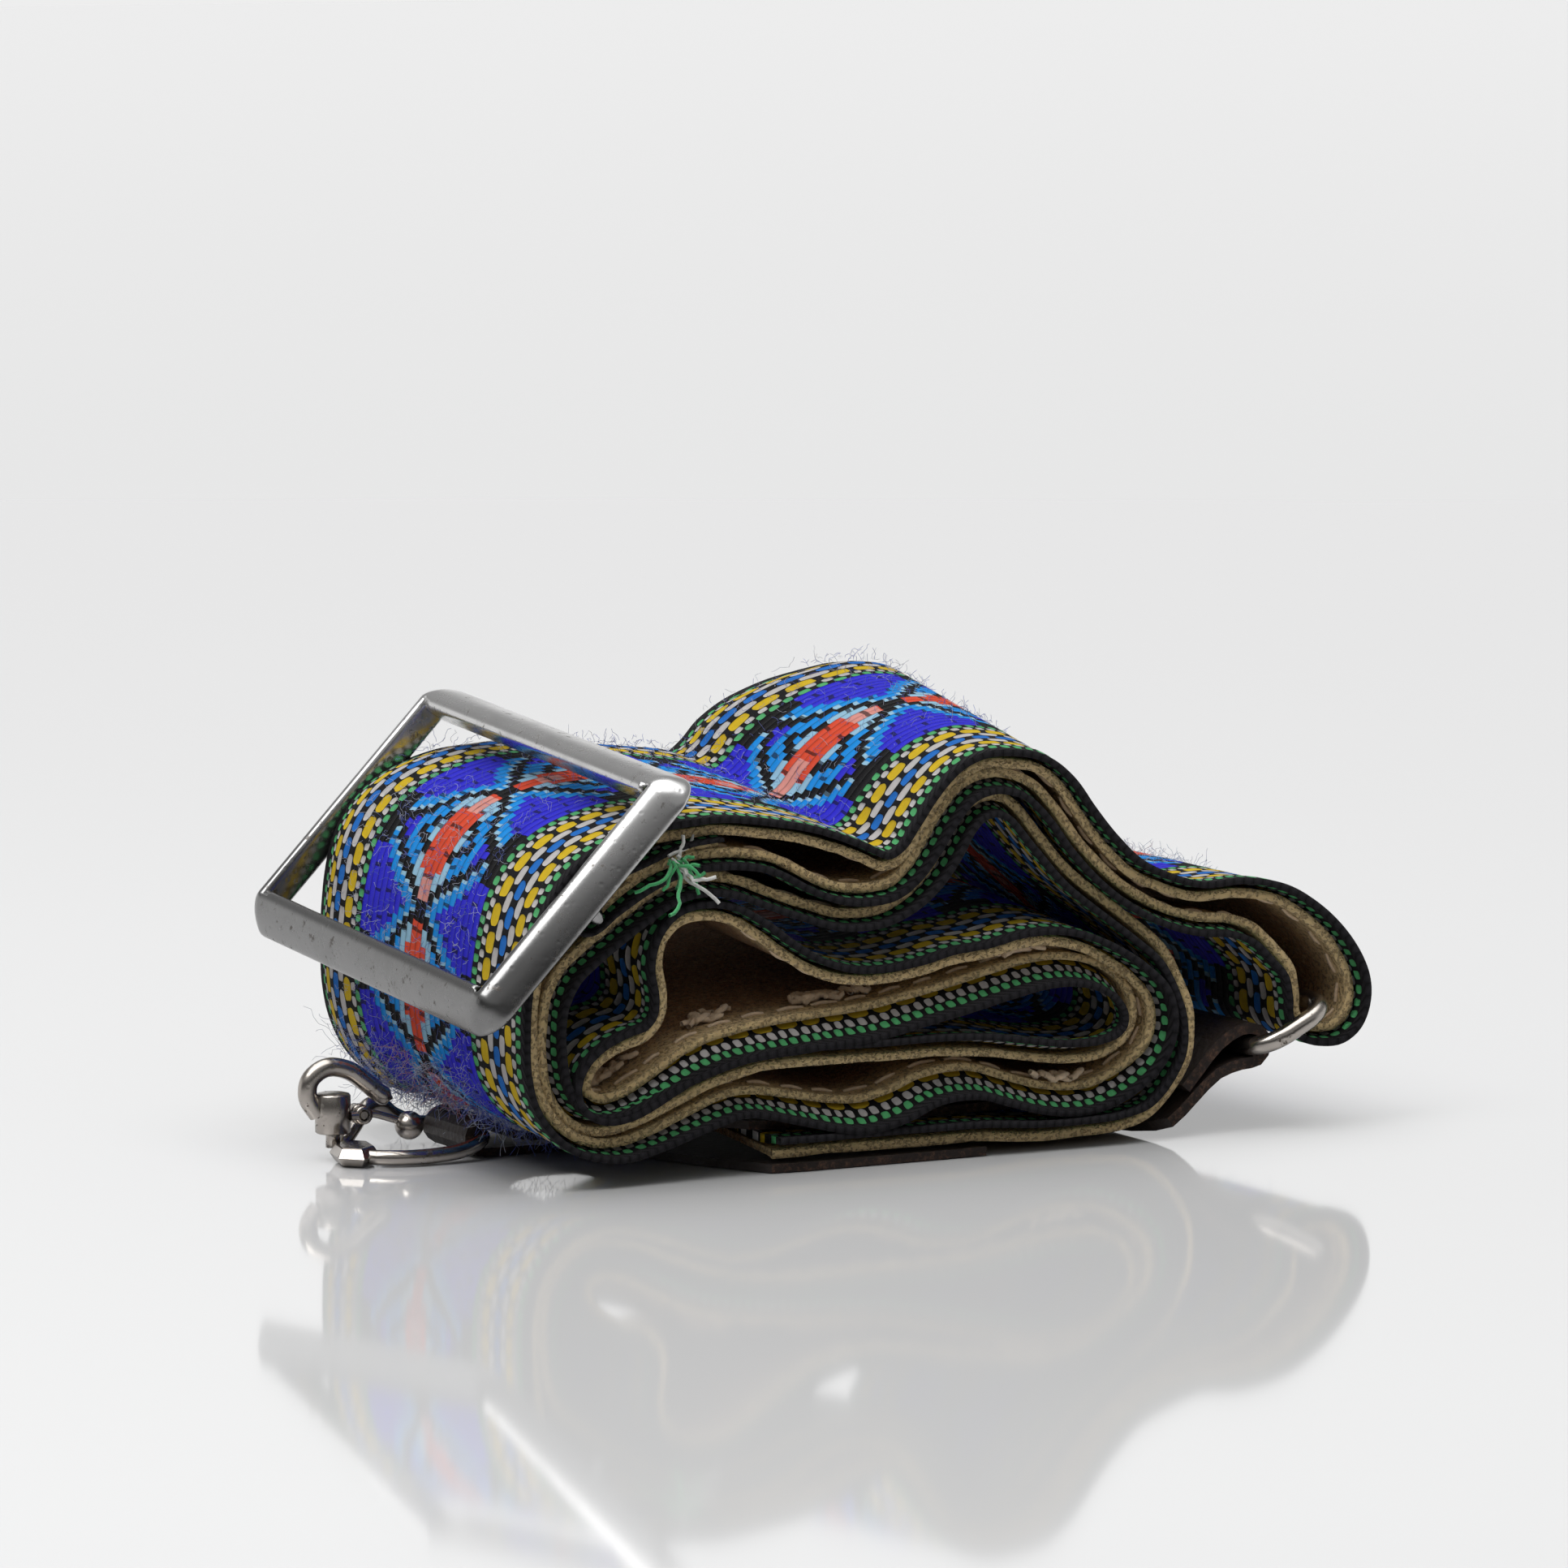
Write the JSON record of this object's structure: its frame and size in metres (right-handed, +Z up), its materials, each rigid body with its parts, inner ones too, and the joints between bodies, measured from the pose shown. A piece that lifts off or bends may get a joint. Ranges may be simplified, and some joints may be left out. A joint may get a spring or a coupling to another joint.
{
  "type": "guitar strap, folded",
  "caption": "Folded two-inch woven guitar strap lined with suede, with a slide buckle, a wide ring and leather tab, and a leather end tab with a swivel snap hook.",
  "frame": {"origin": "centre of the bottom of the whole part's box, on the plane the roll rests on", "axes": "+X along the roll towards the ring, -Y at the front edge of the band, +Z up"},
  "size_m": [0.1108, 0.0592, 0.0476],
  "materials": {
    "jacquard": "woven yarn with a fuzzy nap",
    "suede": "napped suede with raw cut edges",
    "nickel": "bright nickel plate with pits and tarnish",
    "black_leather": "smooth black grain, brown fibrous edges",
    "thread": "cream cotton thread"
  },
  "bodies": {
    "strap": {"woven_band": "jacquard", "suede_lining": "suede", "leather_hook_tab": "black_leather", "tab_stitch_1": "thread", "tab_stitch_2": "thread", "tab_stitch_3": "thread", "tab_stitch_4": "thread", "tab_stitch_5": "thread", "tab_stitch_6": "thread", "tab_stitch_7": "thread", "tab_stitch_8": "thread", "tab_stitch_9": "thread", "tab_stitch_10": "thread"},
    "slide": {"slide_buckle": "nickel"},
    "ring": {"wide_ring": "nickel"},
    "ring_tab": {"leather_ring_tab": "black_leather"},
    "eye": {"hook_eye": "nickel"},
    "hook": {"hook_body": "nickel", "gate_pin": "nickel"},
    "gate": {"gate_lever": "nickel"}
  },
  "joints": [
    {"name": "slide_rock", "type": "hinge", "parent": "strap", "child": "slide", "pos_m": [-0.03744, 0.00013, 0.03032], "axis": [0, 0.997, 0.0775], "range_deg": [-1.5, 1.5]},
    {"name": "ring_swing", "type": "hinge", "parent": "strap", "child": "ring", "pos_m": [0.04956, 0.00023, 0.01325], "axis": [0, -1, 0], "range_deg": [0, 15]},
    {"name": "ring_tab_swing", "type": "hinge", "parent": "ring", "child": "ring_tab", "pos_m": [0.04136, 0.00023, 0.00906], "axis": [0, -1, 0], "range_deg": [0, 20]},
    {"name": "eye_swing", "type": "hinge", "parent": "strap", "child": "eye", "pos_m": [-0.03754, 0.00323, 0.0022], "axis": [0, 1, 0], "range_deg": [-30, 2]},
    {"name": "hook_swivel", "type": "hinge", "parent": "eye", "child": "hook", "pos_m": [-0.05174, 0.00473, 0.00496], "axis": [0, 0, 1], "range_deg": [-25, 18]},
    {"name": "gate_swing", "type": "hinge", "parent": "hook", "child": "gate", "pos_m": [-0.04884, 0.00453, 0.00456], "axis": [0, 1, 0], "range_deg": [0, 25], "stiffness_Nm_per_rad": 0.004}
  ]
}
